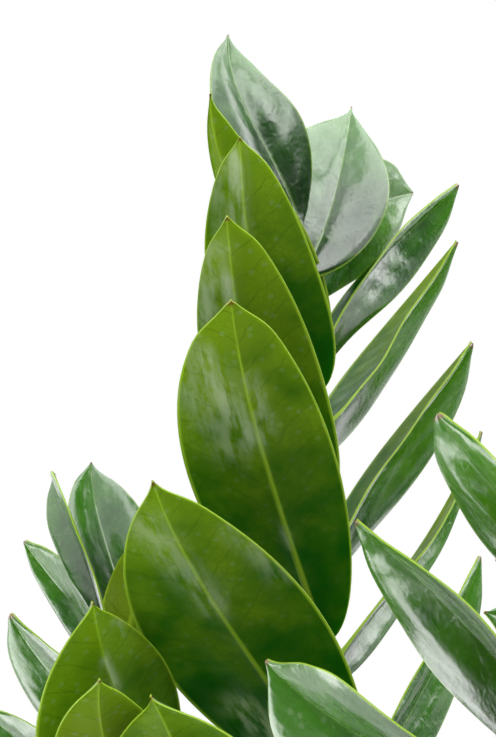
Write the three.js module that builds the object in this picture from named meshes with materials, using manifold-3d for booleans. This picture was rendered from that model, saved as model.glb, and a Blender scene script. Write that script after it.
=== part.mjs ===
// A potted ZZ plant: nine fronds that stand in the soil of a plain round pot.
// Millimetres, +Z up, the origin at the middle of the pot's underside.
// The front of the plant is -Y.

import * as THREE from 'three';
import { mergeVertices } from 'three/addons/utils/BufferGeometryUtils.js';
import Module from 'manifold-3d';

// Pot
const potHeight = 145;
const potFootRadius = 58;
const potTopRadius = 79;
const potWall = 5;
const potFloor = 8;
const rimHeight = 16;
const rimOverhang = 3;
const rimSlope = 3;
const potEdge = 1.5;
const drainHoles = 5;
const drainHoleRadius = 5;
const drainRingRadius = 38;
const potSides = 48;
const holeSides = 12;

// Soil
const gap = 0.3;
const soilTop = 118;
const soilRelief = 1.6;
const soilWaves = { across: 9, along: 11, slanting: 5 };
const soilShoulder = 2;
const soilRings = [0.86, 0.66, 0.44, 0.22, 0];
const soilSides = 36;

// Stalks: the round foot stands upright in its hole, the rest follows the frond's curve
const footRadius = 7.6;
const footDepth = 34;
const footReach = 0.16;
const stalkTipRadius = 1.5;
const stalkMidRadius = 4.4;
const stalkSides = 6;
const stalkRings = 10;
const curveStart = 124;

// Leaflets
const bladeThickness = 0.8;
const stemletThickness = 2.4;
const stemletReach = 0.06;
const stemletHalfWidth = 1.2;
const tipHalfWidth = 0.4;
const bladeStations = [0, 0.12, 0.36, 0.62, 0.86, 1];
const plainLeaflet = {
  fold: 14, bow: 0, sweep: 0, hook: 0, twist: 0, point: 0.8, round: 0.62, widest: 0.48, uneven: 0,
};

// Leaflets by rule: shorter towards the end of the stalk, with a little play
const ruledPlay = { spread: [-0.06, 0.06], size: [0.94, 1.04], fold: [10, 20], bow: [-3, 2], sweep: [-2, 2] };
const ruledFacing = { along: 0.6, row: -0.5, inner: 0.3, up: 0.35 };
const ruledShrink = 0.42;
const ruledWidth = 0.38;

// Fronds: path = four control points of the stalk's curve; side = azimuth of the
// right-hand row of leaflets, in degrees; leaflets = those placed one by one; rule =
// the leaflets placed by rule, from a place along the stalk up to its end, with the
// greatest length, where lift = how far both rows turn towards side + 90, spread =
// how far they stand off the stalk and seed = the start of their draws.
// A leaflet has its place along the stalk, the point of its tip, its width and the
// turn about its own midrib (0 shows the upper face to the front, 180 the underside).
// Fold is the angle of each half, twist the turn from foot to tip, bow the height of
// the midrib's arc, sweep and hook its bends aside in the middle and near the tip.
// Point and round tell how slender the tip and the foot are (0.5 full, 1 slender),
// widest the place of the greatest width, uneven how much wider one half is.
const fronds = {
  upright: {
    path: [[-8, 4, 124], [-14, 2, 240], [-38, -22, 330], [-45, -44, 511]],
    side: 53,
    leaflets: [
      { at: 1, tip: [-63, -34, 561], width: 23, turn: 25, fold: 20, bow: 3, sweep: -1, hook: 5,
        twist: 5, point: 0.85, round: 1.1 },
      { at: 0.92, tip: [-67, -72, 543], width: 20, turn: 170, fold: 35, bow: 5, sweep: 5, hook: -7,
        twist: -20, point: 0.9, widest: 0.4, uneven: 0.35 },
      { at: 0.92, tip: [-60, -78, 532], width: 29, turn: 170, fold: 16, bow: 2, sweep: -7, hook: 2,
        twist: 12, point: 0.65, round: 0.5, widest: 0.36, uneven: 0.1 },
      { at: 0.86, tip: [-63, -82, 513], width: 30, turn: 165, fold: 16, bow: 3, sweep: -8, hook: 2,
        twist: 18, point: 0.62, round: 0.5, widest: 0.4, uneven: 0.15 },
      { at: 0.79, tip: [-62, -88, 493], width: 38, turn: 172, fold: 14, bow: 4, sweep: -2, hook: -1,
        twist: 18, point: 0.6, round: 0.5, uneven: -0.1 },
      { at: 0.7, tip: [-80, -100, 451], width: 44, turn: 164, fold: 10, bow: 4, sweep: -1, hook: -3,
        twist: 18, point: 0.8, round: 0.5, widest: 0.44, uneven: -0.05 },
      { at: 0.6, tip: [-40, -72, 382], width: 36, turn: 180, bow: 3 },
      { at: 0.51, tip: [-34, -68, 350], width: 34, turn: 180, bow: 3 },
      { at: 0.98, tip: [-31, -8, 545], width: 35, turn: 0, fold: 18, bow: 2, sweep: -3, hook: 1,
        twist: -18, point: 1.2, round: 0.75, widest: 0.42, uneven: 0.2 },
      { at: 0.97, tip: [-14, 14, 524], width: 30, turn: 38, fold: 10, bow: -4, sweep: 5, point: 0.6,
        round: 0.5, widest: 0.55 },
      { at: 0.93, tip: [-2, 10, 526], width: 22, turn: 68, fold: 26, bow: -6, sweep: 4, hook: -7,
        twist: -32, point: 0.5, round: 0.5, uneven: -0.2 },
      { at: 0.9, tip: [-2, 14, 511], width: 30, turn: 80, fold: 32, bow: -4, sweep: -8, hook: -7,
        twist: -12, point: 0.5, round: 0.8, widest: 0.38, uneven: -0.15 },
      { at: 0.83, tip: [2, 14, 484], width: 32, turn: 76, fold: 28, bow: -6, sweep: -8, hook: -5,
        twist: -12, point: 0.5, round: 0.5, widest: 0.56, uneven: -0.2 },
      { at: 0.77, tip: [5, 20, 460], width: 20, turn: 64, fold: 30, bow: -1, sweep: -4, hook: -7,
        twist: 12, point: 0.5, round: 0.5, widest: 0.36, uneven: 0.2 },
      { at: 0.68, tip: [5, 25, 426], width: 22, turn: 50, fold: 18, bow: -1, sweep: -5, hook: -2,
        point: 0.55, round: 0.5, uneven: -0.1 },
      { at: 0.56, tip: [10, 30, 356], width: 34, turn: 50, bow: 2 },
      { at: 0.47, tip: [14, 32, 320], width: 30, turn: 50, bow: 2 },
      { at: 0.79, tip: [-70, -6, 448], width: 24, turn: -10, bow: 3 },
    ],
  },
  left: {
    path: [[-36, -14, 124], [-34, -22, 235], [-61, -44, 340], [-95, -60, 417]],
    side: 102,
    leaflets: [
      { at: 0.94, tip: [-83, -49, 435], width: 12, turn: 172, fold: 4, point: 0.5, round: 0.5,
        uneven: -0.3 },
      { at: 0.79, tip: [-94, -98, 423], width: 39, turn: 204, fold: 6, bow: 4, sweep: -2, twist: -6,
        point: 0.95, round: 0.95, uneven: -0.2 },
      { at: 0.75, tip: [-92, -106, 406], width: 30, turn: 180, fold: 10, bow: 4, sweep: -8, hook: 1,
        point: 0.8, round: 0.5, widest: 0.44 },
      { at: 0.67, tip: [-80, -114, 403], width: 43, turn: 168, fold: 6, bow: 4, sweep: 1, hook: 1,
        twist: -8, point: 1.1, round: 0.7, widest: 0.54 },
      { at: 0.56, tip: [-76, -94, 356], width: 34, turn: 186, bow: 4 },
      { at: 0.47, tip: [-66, -84, 328], width: 32, turn: 186, bow: 4 },
      { at: 0.94, tip: [-98, -26, 453], width: 22, turn: 12, fold: 22, bow: -1, sweep: -6, hook: 5,
        twist: 18, point: 0.75, round: 0.9, widest: 0.6, uneven: -0.1 },
      { at: 0.97, tip: [-107, -32, 450], width: 18, turn: -52, fold: 36, bow: 3, sweep: -8, hook: 2,
        twist: -12, point: 0.6, round: 0.6, widest: 0.6, uneven: -0.2 },
      { at: 0.92, tip: [-115, -26, 433], width: 21, turn: -44, fold: 20, bow: -4, sweep: 1, hook: 2,
        twist: 8, point: 0.55, round: 0.7, widest: 0.46, uneven: -0.35 },
      { at: 0.84, tip: [-119, -20, 414], width: 26, turn: -46, fold: 16, bow: -5, sweep: 4, hook: 7,
        twist: 6, point: 0.5, round: 0.5, widest: 0.6 },
      { at: 0.72, tip: [-127, -16, 390], width: 30, turn: -38, fold: 18, bow: 1 },
      { at: 0.64, tip: [-118, -12, 372], width: 32, turn: -38, fold: 16 },
      { at: 0.54, tip: [-110, -8, 346], width: 32, turn: -38, fold: 16 },
      { at: 0.45, tip: [-98, -4, 316], width: 28, turn: -38, fold: 16 },
      { at: 0.86, tip: [-86, -2, 419], width: 18, turn: -20 },
    ],
  },
  front: {
    path: [[6, -36, 124], [0, -64, 240], [-12, -138, 330], [26, -172, 432]],
    side: 145,
    leaflets: [
      { at: 1, tip: [30, -174, 486], width: 24, turn: 170 },
      { at: 0.98, tip: [-16, -128, 467], width: 28, turn: -62, fold: 8, bow: -4, sweep: 8, hook: 5,
        twist: 18, point: 0.4, round: 1.05, widest: 0.6, uneven: 0.2 },
      { at: 0.83, tip: [-34, -122, 443], width: 34, turn: -63, fold: 22, bow: -7, sweep: -8, hook: 7,
        twist: -14, point: 0.55, round: 0.9, widest: 0.56 },
      { at: 0.8, tip: [-54, -124, 412], width: 43, turn: -50, fold: 20, bow: 3, sweep: -8, hook: 7,
        twist: 18, point: 0.85, round: 0.5, widest: 0.62 },
      { at: 0.68, tip: [-42, -98, 370], width: 30, turn: -42, bow: -3 },
      { at: 0.58, tip: [-40, -92, 336], width: 28, turn: -42, bow: -3 },
      { at: 0.48, tip: [-38, -78, 306], width: 26, turn: -42, bow: -3 },
      { at: 0.94, tip: [58, -188, 462], width: 26, turn: 196, bow: 3 },
      { at: 0.85, tip: [58, -182, 436], width: 29, turn: 196, bow: 3 },
      { at: 0.76, tip: [56, -172, 406], width: 32, turn: 196, bow: 3 },
      { at: 0.65, tip: [52, -154, 366], width: 32, turn: 196, bow: 3 },
      { at: 0.54, tip: [46, -136, 334], width: 30, turn: 196, bow: 3 },
      { at: 0.44, tip: [42, -114, 304], width: 26, turn: 196, bow: 3 },
    ],
  },
  backRight: {
    path: [[20, 32, 124], [26, 42, 260], [54, 62, 380], [94, 84, 472]],
    side: 125, seed: 43, lift: 20, spread: 40,
    rule: { count: 11, from: 0.5, length: 80 },
    leaflets: [
      { at: 0.8, tip: [12, 60, 423], width: 26, turn: 20, fold: 14 },
      { at: 0.72, tip: [8, 50, 409], width: 28, turn: 20, fold: 14 },
    ],
  },
  right: {
    path: [[38, -8, 124], [46, -14, 250], [84, -26, 400], [128, -38, 505]],
    side: 75, lift: 12, spread: 40, seed: 57,
    rule: { count: 14, from: 0.46, length: 88 },
  },
  backLeft: {
    path: [[-30, 36, 124], [-44, 56, 215], [-88, 86, 285], [-150, 118, 300]],
    side: 235, lift: 22, spread: 45, seed: 61,
    rule: { count: 12, from: 0.42, length: 78 },
  },
  frontRight: {
    path: [[34, -44, 124], [52, -62, 205], [94, -96, 272], [144, -128, 292]],
    side: 50, lift: 22, spread: 45, seed: 71,
    rule: { count: 12, from: 0.42, length: 78 },
  },
  frontLeft: {
    path: [[-22, -42, 124], [-32, -66, 210], [-58, -114, 276], [-96, -162, 296]],
    side: 324, lift: 22, spread: 45, seed: 83,
    rule: { count: 12, from: 0.42, length: 76 },
  },
  back: {
    path: [[-4, 52, 124], [-2, 76, 215], [4, 120, 288], [8, 176, 304]],
    side: 177, lift: 22, spread: 45, seed: 97,
    rule: { count: 10, from: 0.42, length: 76 },
  },
};

const wasm = await Module();
wasm.setup();

const vector = (x, y, z) => new THREE.Vector3(x, y, z);
const azimuth = (degrees) => {
  const a = THREE.MathUtils.degToRad(degrees);
  return vector(Math.cos(a), Math.sin(a), 0);
};
const across = (v, axis) => v.clone().addScaledVector(axis, -v.dot(axis)).normalize();
const turned = (v, axis, degrees) => v.clone().applyAxisAngle(axis, THREE.MathUtils.degToRad(degrees));

// Seeded draws between low and high, the same on every run
function draws(seed) {
  let state = seed;
  return (low, high) => {
    state = (state * 16807) % 2147483647;
    return low + (high - low) * state / 2147483647;
  };
}

// Joins and cuts of closed solids
function solidOf(geometry) {
  const bare = geometry.clone();
  bare.deleteAttribute('normal');
  bare.deleteAttribute('uv');
  const merged = mergeVertices(bare, 1e-4);
  return new wasm.Manifold(new wasm.Mesh({
    numProp: 3,
    vertProperties: new Float32Array(merged.attributes.position.array),
    triVerts: new Uint32Array(merged.index.array),
  }));
}

function geometryOf(solid) {
  const mesh = solid.getMesh();
  const geometry = new THREE.BufferGeometry();
  geometry.setAttribute('position', new THREE.BufferAttribute(new Float32Array(mesh.vertProperties), 3));
  geometry.setIndex(new THREE.BufferAttribute(new Uint32Array(mesh.triVerts), 1));
  geometry.computeVertexNormals();
  return geometry;
}

function latheAboutZ(profile, sides) {
  const points = profile.map(([radius, height]) => new THREE.Vector2(radius, height));
  return new THREE.LatheGeometry(points, sides).rotateX(Math.PI / 2);
}

function uprightCylinder(radius, bottom, top, sides) {
  const height = top - bottom;
  return new THREE.CylinderGeometry(radius, radius, height, sides)
    .rotateX(Math.PI / 2)
    .translate(0, 0, bottom + height / 2);
}

// Pot
function outerRadiusAt(height) {
  return THREE.MathUtils.lerp(potFootRadius, potTopRadius, height / potHeight);
}

function potSolid() {
  const underRim = potHeight - rimHeight;
  const profile = [
    [0, 0],
    [potFootRadius - potEdge, 0],
    [potFootRadius, potEdge],
    [outerRadiusAt(underRim), underRim],
    [outerRadiusAt(underRim) + rimOverhang, underRim + rimSlope],
    [potTopRadius + rimOverhang, potHeight - potEdge],
    [potTopRadius + rimOverhang - potEdge, potHeight],
    [potTopRadius - potWall + potEdge, potHeight],
    [potTopRadius - potWall, potHeight - potEdge],
    [outerRadiusAt(potFloor) - potWall, potFloor],
    [0, potFloor],
  ];
  let pot = solidOf(latheAboutZ(profile, potSides));
  for (let i = 0; i < drainHoles; i += 1) {
    const place = azimuth(360 * (i + 0.5) / drainHoles).multiplyScalar(drainRingRadius);
    const hole = uprightCylinder(drainHoleRadius, -1, potFloor + 1, holeSides).translate(place.x, place.y, 0);
    pot = pot.subtract(solidOf(hole));
  }
  return pot;
}

// Soil: a plug that fills the pot, with a gently uneven top and a plain hole for each stalk
function soilSolid() {
  const radiusAt = (height) => outerRadiusAt(height) - potWall - gap;
  const low = potFloor + gap;
  const shoulder = soilTop - soilShoulder;
  const profile = [[0, low], [radiusAt(low), low], [radiusAt(shoulder), shoulder]];
  for (const share of soilRings) profile.push([share * radiusAt(soilTop), soilTop]);
  const geometry = latheAboutZ(profile, soilSides);
  const position = geometry.attributes.position;
  for (let i = 0; i < position.count; i += 1) {
    if (position.getZ(i) > soilTop - 1) {
      const x = position.getX(i);
      const y = position.getY(i);
      const broad = Math.sin(x / soilWaves.across + 1) * Math.cos(y / soilWaves.along);
      const fine = Math.sin((x + y) / soilWaves.slanting) / 2;
      position.setZ(i, soilTop + soilRelief * (broad + fine) / 1.5);
    }
  }
  let soil = solidOf(geometry);
  const holeRadius = (footRadius + gap) / Math.cos(Math.PI / holeSides);
  const bottom = curveStart - footDepth - gap;
  for (const { path: [[x, y]] } of Object.values(fronds)) {
    const hole = uprightCylinder(holeRadius, bottom, curveStart, holeSides).translate(x, y, 0);
    soil = soil.subtract(solidOf(hole));
  }
  return soil;
}

// Stalk: a cylinder whose rings are carried along the frond's curve
function curveOf(frond) {
  return new THREE.CubicBezierCurve3(...frond.path.map((point) => vector(...point)));
}

function stalkRadius(at) {
  const slender = THREE.MathUtils.lerp(stalkMidRadius, stalkTipRadius, at);
  return slender + (footRadius - stalkMidRadius) * Math.exp(-at / footReach);
}

function stalkGeometry(frond, curve) {
  const geometry = new THREE.CylinderGeometry(1, 1, 1, stalkSides, stalkRings + 1);
  const position = geometry.attributes.position;
  for (let i = 0; i < position.count; i += 1) {
    const ring = Math.round((position.getY(i) + 0.5) * (stalkRings + 1)) - 1;
    const at = Math.max(0, ring / stalkRings);
    const along = ring <= 0 ? vector(0, 0, 1) : curve.getTangent(at);
    const right = across(azimuth(frond.side), along);
    const front = new THREE.Vector3().crossVectors(along, right);
    const point = curve.getPoint(at);
    if (ring < 0) point.z -= footDepth;
    const radius = ring <= 0 ? footRadius : stalkRadius(at);
    point.addScaledVector(right, radius * position.getX(i));
    point.addScaledVector(front, -radius * position.getZ(i));
    position.setXYZ(i, point.x, point.y, point.z);
  }
  return geometry;
}

// Leaflet: a thin folded blade from the middle of the stalk to its tip
function bladeWidth(t, leaf) {
  const power = Math.log(0.5) / Math.log(leaf.widest);
  const fullness = THREE.MathUtils.lerp(leaf.round, leaf.point, t);
  return Math.abs(Math.sin(Math.PI * t ** power)) ** fullness;
}

function bladeFrame(leaf, t) {
  // both bends reach their full height, the arc at the middle and the hook at two thirds
  const arc = 4 * t * (1 - t);
  const arcSlope = 4 - 8 * t;
  const hook = 27 / 4 * t * t * (1 - t);
  const hookSlope = 27 / 4 * (2 * t - 3 * t * t);
  const centre = leaf.base.clone().addScaledVector(leaf.chord, t)
    .addScaledVector(leaf.normal, leaf.bow * arc)
    .addScaledVector(leaf.sideways, leaf.sweep * arc + leaf.hook * hook);
  const along = leaf.chord.clone()
    .addScaledVector(leaf.normal, leaf.bow * arcSlope)
    .addScaledVector(leaf.sideways, leaf.sweep * arcSlope + leaf.hook * hookSlope)
    .normalize();
  const normal = turned(across(leaf.normal, along), along, leaf.twist * (t - 0.5));
  const sideways = new THREE.Vector3().crossVectors(normal, along);
  return { centre, normal, sideways };
}

function leafletGeometry(leaf) {
  const fold = THREE.MathUtils.degToRad(leaf.fold);
  const points = [];
  for (const t of bladeStations) {
    const { centre, normal, sideways } = bladeFrame(leaf, t);
    const least = THREE.MathUtils.lerp(stemletHalfWidth, tipHalfWidth, t);
    const middle = Math.max(leaf.width / 2 * bladeWidth(t, leaf), least);
    const thickness = bladeThickness + (stemletThickness - bladeThickness) * Math.exp(-t / stemletReach);
    for (const face of [0.5, -0.5]) {
      for (const s of [-1, 0, 1]) {
        const half = middle * (1 + leaf.uneven * s);
        const point = centre.clone()
          .addScaledVector(sideways, half * s * Math.cos(fold))
          .addScaledVector(normal, half * Math.abs(s) * Math.sin(fold) + face * thickness);
        points.push(point.x, point.y, point.z);
      }
    }
  }
  const loop = [0, 1, 2, 5, 4, 3];
  const index = [];
  for (let ring = 0; ring < bladeStations.length - 1; ring += 1) {
    for (let k = 0; k < 6; k += 1) {
      const a = ring * 6 + loop[k];
      const b = ring * 6 + loop[(k + 1) % 6];
      if (k < 3) index.push(a, a + 6, b + 6, a, b + 6, b);
      else index.push(a, a + 6, b, b, a + 6, b + 6);
    }
  }
  const last = (bladeStations.length - 1) * 6;
  index.push(0, 1, 4, 0, 4, 3, 1, 2, 5, 1, 5, 4);
  index.push(last, last + 4, last + 1, last, last + 3, last + 4);
  index.push(last + 1, last + 5, last + 2, last + 1, last + 4, last + 5);
  const geometry = new THREE.BufferGeometry();
  geometry.setAttribute('position', new THREE.Float32BufferAttribute(points, 3));
  geometry.setIndex(index);
  return geometry;
}

function leaflet(base, tip, normal, shape) {
  const chord = tip.clone().sub(base);
  const along = chord.clone().normalize();
  const facing = across(normal, along);
  const sideways = new THREE.Vector3().crossVectors(facing, along);
  return { ...plainLeaflet, ...shape, base, chord, normal: facing, sideways };
}

function placedLeaflet(curve, { at, tip, turn, ...shape }) {
  const base = curve.getPoint(at);
  const end = vector(...tip);
  const along = end.clone().sub(base).normalize();
  const front = across(vector(0, -1, 0), along);
  return leaflet(base, end, turned(front, along, turn), shape);
}

// The rows alternate up the stalk; the last leaflet ends the stalk
function ruledLeaflets(frond, curve) {
  const { count, from, length } = frond.rule;
  const draw = draws(frond.seed);
  const spreadBase = THREE.MathUtils.degToRad(frond.spread);
  const lift = THREE.MathUtils.degToRad(frond.lift);
  const inner = azimuth(frond.side + 90);
  return Array.from({ length: count }, (_, i) => {
    const at = THREE.MathUtils.lerp(from, 1, i / (count - 1));
    const base = curve.getPoint(at);
    const along = curve.getTangent(at);
    const row = azimuth(frond.side).multiplyScalar(i % 2 === 0 ? 1 : -1);
    const lifted = row.clone().multiplyScalar(Math.cos(lift)).addScaledVector(inner, Math.sin(lift));
    const outward = across(lifted, along);
    const spread = at === 1 ? 0 : spreadBase + draw(...ruledPlay.spread);
    const size = length * (1 - ruledShrink * ((at - from) / (1 - from)) ** 1.5) * draw(...ruledPlay.size);
    const tip = base.clone()
      .addScaledVector(along, size * Math.cos(spread))
      .addScaledVector(outward, size * Math.sin(spread));
    const normal = along.clone().multiplyScalar(ruledFacing.along)
      .addScaledVector(row, ruledFacing.row)
      .addScaledVector(inner, ruledFacing.inner)
      .addScaledVector(vector(0, 0, 1), ruledFacing.up);
    const shape = {
      width: size * ruledWidth,
      fold: draw(...ruledPlay.fold),
      bow: draw(...ruledPlay.bow),
      sweep: draw(...ruledPlay.sweep),
    };
    return leaflet(base, tip, normal, shape);
  });
}

function frondSolid(frond) {
  const curve = curveOf(frond);
  const leaflets = [
    ...(frond.leaflets ?? []).map((placed) => placedLeaflet(curve, placed)),
    ...(frond.rule ? ruledLeaflets(frond, curve) : []),
  ];
  return leaflets.reduce(
    (joined, leaf) => joined.add(solidOf(leafletGeometry(leaf))),
    solidOf(stalkGeometry(frond, curve)),
  );
}

// The whole plant
function material(color, roughness) {
  return new THREE.MeshStandardMaterial({ color, roughness, metalness: 0 });
}

function piece(name, solid, color, roughness) {
  const mesh = new THREE.Mesh(geometryOf(solid), material(color, roughness));
  mesh.name = name;
  return mesh;
}

const plant = new THREE.Group();
plant.add(piece('pot', potSolid(), 0xe9e6df, 0.35));
plant.add(piece('soil', soilSolid(), 0x3b2a1e, 0.95));
for (const [name, frond] of Object.entries(fronds)) {
  plant.add(piece(`frond_${name}`, frondSolid(frond), 0x3f7a1d, 0.3));
}

export default plant;
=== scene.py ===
import math

import bpy
import numpy as np
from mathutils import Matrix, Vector


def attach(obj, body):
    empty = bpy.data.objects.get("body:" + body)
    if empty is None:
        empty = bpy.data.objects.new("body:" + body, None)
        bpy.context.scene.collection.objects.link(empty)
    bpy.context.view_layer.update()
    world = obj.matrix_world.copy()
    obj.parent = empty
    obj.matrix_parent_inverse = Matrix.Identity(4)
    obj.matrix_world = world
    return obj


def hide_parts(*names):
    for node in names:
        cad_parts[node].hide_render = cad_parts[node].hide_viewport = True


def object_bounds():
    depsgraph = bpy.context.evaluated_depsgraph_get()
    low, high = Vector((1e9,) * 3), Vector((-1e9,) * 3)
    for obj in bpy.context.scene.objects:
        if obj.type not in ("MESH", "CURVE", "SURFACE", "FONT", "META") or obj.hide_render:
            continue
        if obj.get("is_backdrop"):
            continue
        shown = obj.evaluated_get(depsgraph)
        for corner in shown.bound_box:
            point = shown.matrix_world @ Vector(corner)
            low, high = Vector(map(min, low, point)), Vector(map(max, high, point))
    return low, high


# A potted ZZ plant. The tables are in millimetres, the meshes in metres.
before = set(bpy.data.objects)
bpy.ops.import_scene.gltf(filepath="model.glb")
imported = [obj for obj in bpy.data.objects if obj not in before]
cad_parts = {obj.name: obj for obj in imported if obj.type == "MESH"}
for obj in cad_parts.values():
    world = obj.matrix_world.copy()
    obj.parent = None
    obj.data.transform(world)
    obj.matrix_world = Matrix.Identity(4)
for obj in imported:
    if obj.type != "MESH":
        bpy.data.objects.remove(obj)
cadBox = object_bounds()
mm = 0.001


# Small helpers

def say(text):
    print("stage:", text, flush=True)


def colourOf(hexText):
    # sRGB hex to linear, with an alpha of 1
    channels = [int(hexText[i:i + 2], 16) / 255 for i in (1, 3, 5)]
    return tuple(c / 12.92 if c <= 0.04045 else ((c + 0.055) / 1.055) ** 2.4 for c in channels) + (1.0,)


def addNode(tree, kind, inputs=None, **settings):
    node = tree.nodes.new("ShaderNode" + kind)
    for name, value in settings.items():
        setattr(node, name, value)
    for socket, value in (inputs or {}).items():
        if isinstance(value, bpy.types.NodeSocket):
            tree.links.new(value, node.inputs[socket])
        else:
            node.inputs[socket].default_value = value
    return node


def newMaterial(name):
    material = bpy.data.materials.new(name)
    material.use_nodes = True
    material.node_tree.nodes.clear()
    return material, material.node_tree


def deselectAll():
    if bpy.context.object and bpy.context.object.mode != "OBJECT":
        bpy.ops.object.mode_set(mode="OBJECT")
    bpy.ops.object.select_all(action="DESELECT")


def makeActive(piece):
    deselectAll()
    piece.select_set(True)
    bpy.context.view_layer.objects.active = piece


def applyModifier(piece, kind, **settings):
    makeActive(piece)
    modifier = piece.modifiers.new(kind.lower(), kind)
    for name, value in settings.items():
        setattr(modifier, name, value)
    bpy.ops.object.modifier_apply(modifier=modifier.name)


def pointsOf(mesh):
    points = np.empty(len(mesh.vertices) * 3)
    mesh.vertices.foreach_get("co", points)
    return points.reshape(-1, 3)


def placePoints(mesh, points):
    mesh.vertices.foreach_set("co", np.asarray(points, dtype=np.float32).ravel())
    mesh.update()


def keepValues(mesh, name, values):
    attribute = mesh.attributes.new(name, "FLOAT", "POINT")
    attribute.data.foreach_set("value", np.asarray(values, dtype=np.float32))


def joinAll(parts, name):
    deselectAll()
    for part in parts:
        part.select_set(True)
    bpy.context.view_layer.objects.active = parts[0]
    bpy.ops.object.join()
    joined = bpy.context.object
    joined.name = name
    joined.data.name = name
    return joined


def copyOf(piece, name):
    copied = piece.copy()
    copied.data = piece.data.copy()
    copied.name = name
    bpy.context.scene.collection.objects.link(copied)
    return copied


def unit(v):
    return v / np.linalg.norm(v, axis=-1, keepdims=True)


def across(v, axis):
    # what is left of v square to the axis
    return unit(v - axis * np.sum(v * axis, axis=-1, keepdims=True))


def turned(v, axis, radians):
    # v is square to the axis
    angle = np.reshape(radians, np.shape(radians) + (1,))
    return v * np.cos(angle) + np.cross(axis, v) * np.sin(angle)


def azimuth(degrees):
    a = math.radians(degrees)
    return np.array([math.cos(a), math.sin(a), 0.0])


def smooth(low, high, x):
    share = np.clip((x - low) / (high - low), 0, 1)
    return share * share * (3 - 2 * share)


def draws(seed):
    # seeded draws between low and high, the same on every run
    factor, modulus = 16807, 2147483647
    state = seed

    def draw(low, high):
        nonlocal state
        state = (state * factor) % modulus
        return low + (high - low) * state / modulus
    return draw


# Camera: at the photo's viewing angle, with the plant's upper fronds in the frame
cameraSet = {"place": (-0.058, -0.808, 0.477), "lens": 150, "sensor": 36, "farthest": 60}

cameraData = bpy.data.cameras.new("camera")
cameraData.lens = cameraSet["lens"]
cameraData.sensor_width = cameraSet["sensor"]
cameraData.clip_end = cameraSet["farthest"]
camera = bpy.data.objects.new("camera", cameraData)
camera.location = cameraSet["place"]
camera.rotation_euler = (math.radians(90), 0, 0)
bpy.context.scene.collection.objects.link(camera)
bpy.context.scene.camera = camera
bpy.context.scene.view_settings.view_transform = "Standard"
say("camera")


# Leaf: two faces of one thin blade. Both are a glossy or a satin skin over green tissue
# that lets light through.
leafLooks = {
    # Waxy upper face: a smooth cuticle over dark green, which mirrors the softboxes in broken
    # white bands and stays deep green between them
    "waxyUpperFace": {
        "deep": "#0a2c04", "bright": "#2c6412", "veinColour": "#6d9c44", "midrib": "#86ac58",
        "veinShare": 0.12, "netShare": 0.04, "midribShare": 0.3, "marginShare": 0.3,
        "ribWidth": 0.045, "paintedReflectionShare": 0.6,
        "glowDeep": "#3f8a08", "glowBright": "#86c828", "glowShare": 0.3,
        "bodyFrom": 0.6, "bodyTo": 1.7,
        "roughness": (0.18, 0.36), "specular": 0.9, "coat": 1.0, "coatRoughness": 0.16,
        "reliefDepth": 0.0006, "reliefStrength": 0.45,
    },
    # Underside: satin and without wax, yellow-green against the light, deep green at the foot (partly
    # painted shade there), with a fine dark net of veins
    "leafUnderside": {
        "deep": "#125a00", "bright": "#769018", "veinColour": "#2a5a08", "midrib": "#9cbc28",
        "veinShare": 0.2, "netShare": 0.14, "midribShare": 0.7, "marginShare": 0.8,
        "ribWidth": 0.085, "paintedReflectionShare": 0.85,
        "glowDeep": "#1a7a00", "glowBright": "#b8c620", "glowShare": 0.5,
        "bodyFrom": 0.72, "bodyTo": 1.8,
        "roughness": (0.36, 0.5), "specular": 0.12, "coat": 0.0, "coatRoughness": 0.3,
        "reliefDepth": 0.0003, "reliefStrength": 0.4,
    },
}
# sizes in centimetres; the shares tell how strongly a mark covers what is under it
leafPattern = {
    "warpSize": 0.8, "warpReach": 0.4, "veinSpacing": 0.9, "veinSlope": 0.8, "netCell": 0.25,
    "cloudSize": 1.3, "cloudWeight": 0.9, "spotSize": 0.35, "dropGlintSpacing": 0.55,
    "buckleWidth": 0.45, "buckleLength": 2.2, "streakWidth": 0.3, "streakLength": 1.2,
    "ribAtFoot": 1.2, "ribAtTip": 0.25, "swellShare": 0.3, "cushionShare": 0.12,
    "spotShare": 0.2, "dropGlintShare": 0.1, "tipShare": 0.9,
    # the last colour here is the pale one of the painted reflections and of the droplets' painted glints
    "margin": "#a8c63a", "tip": "#7a5526", "paintedReflection": "#c6cfb8",
}
marginLook = {"skin": "#9dbb34", "glow": "#d3e85a", "glowShare": 0.5, "roughness": 0.4}


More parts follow.
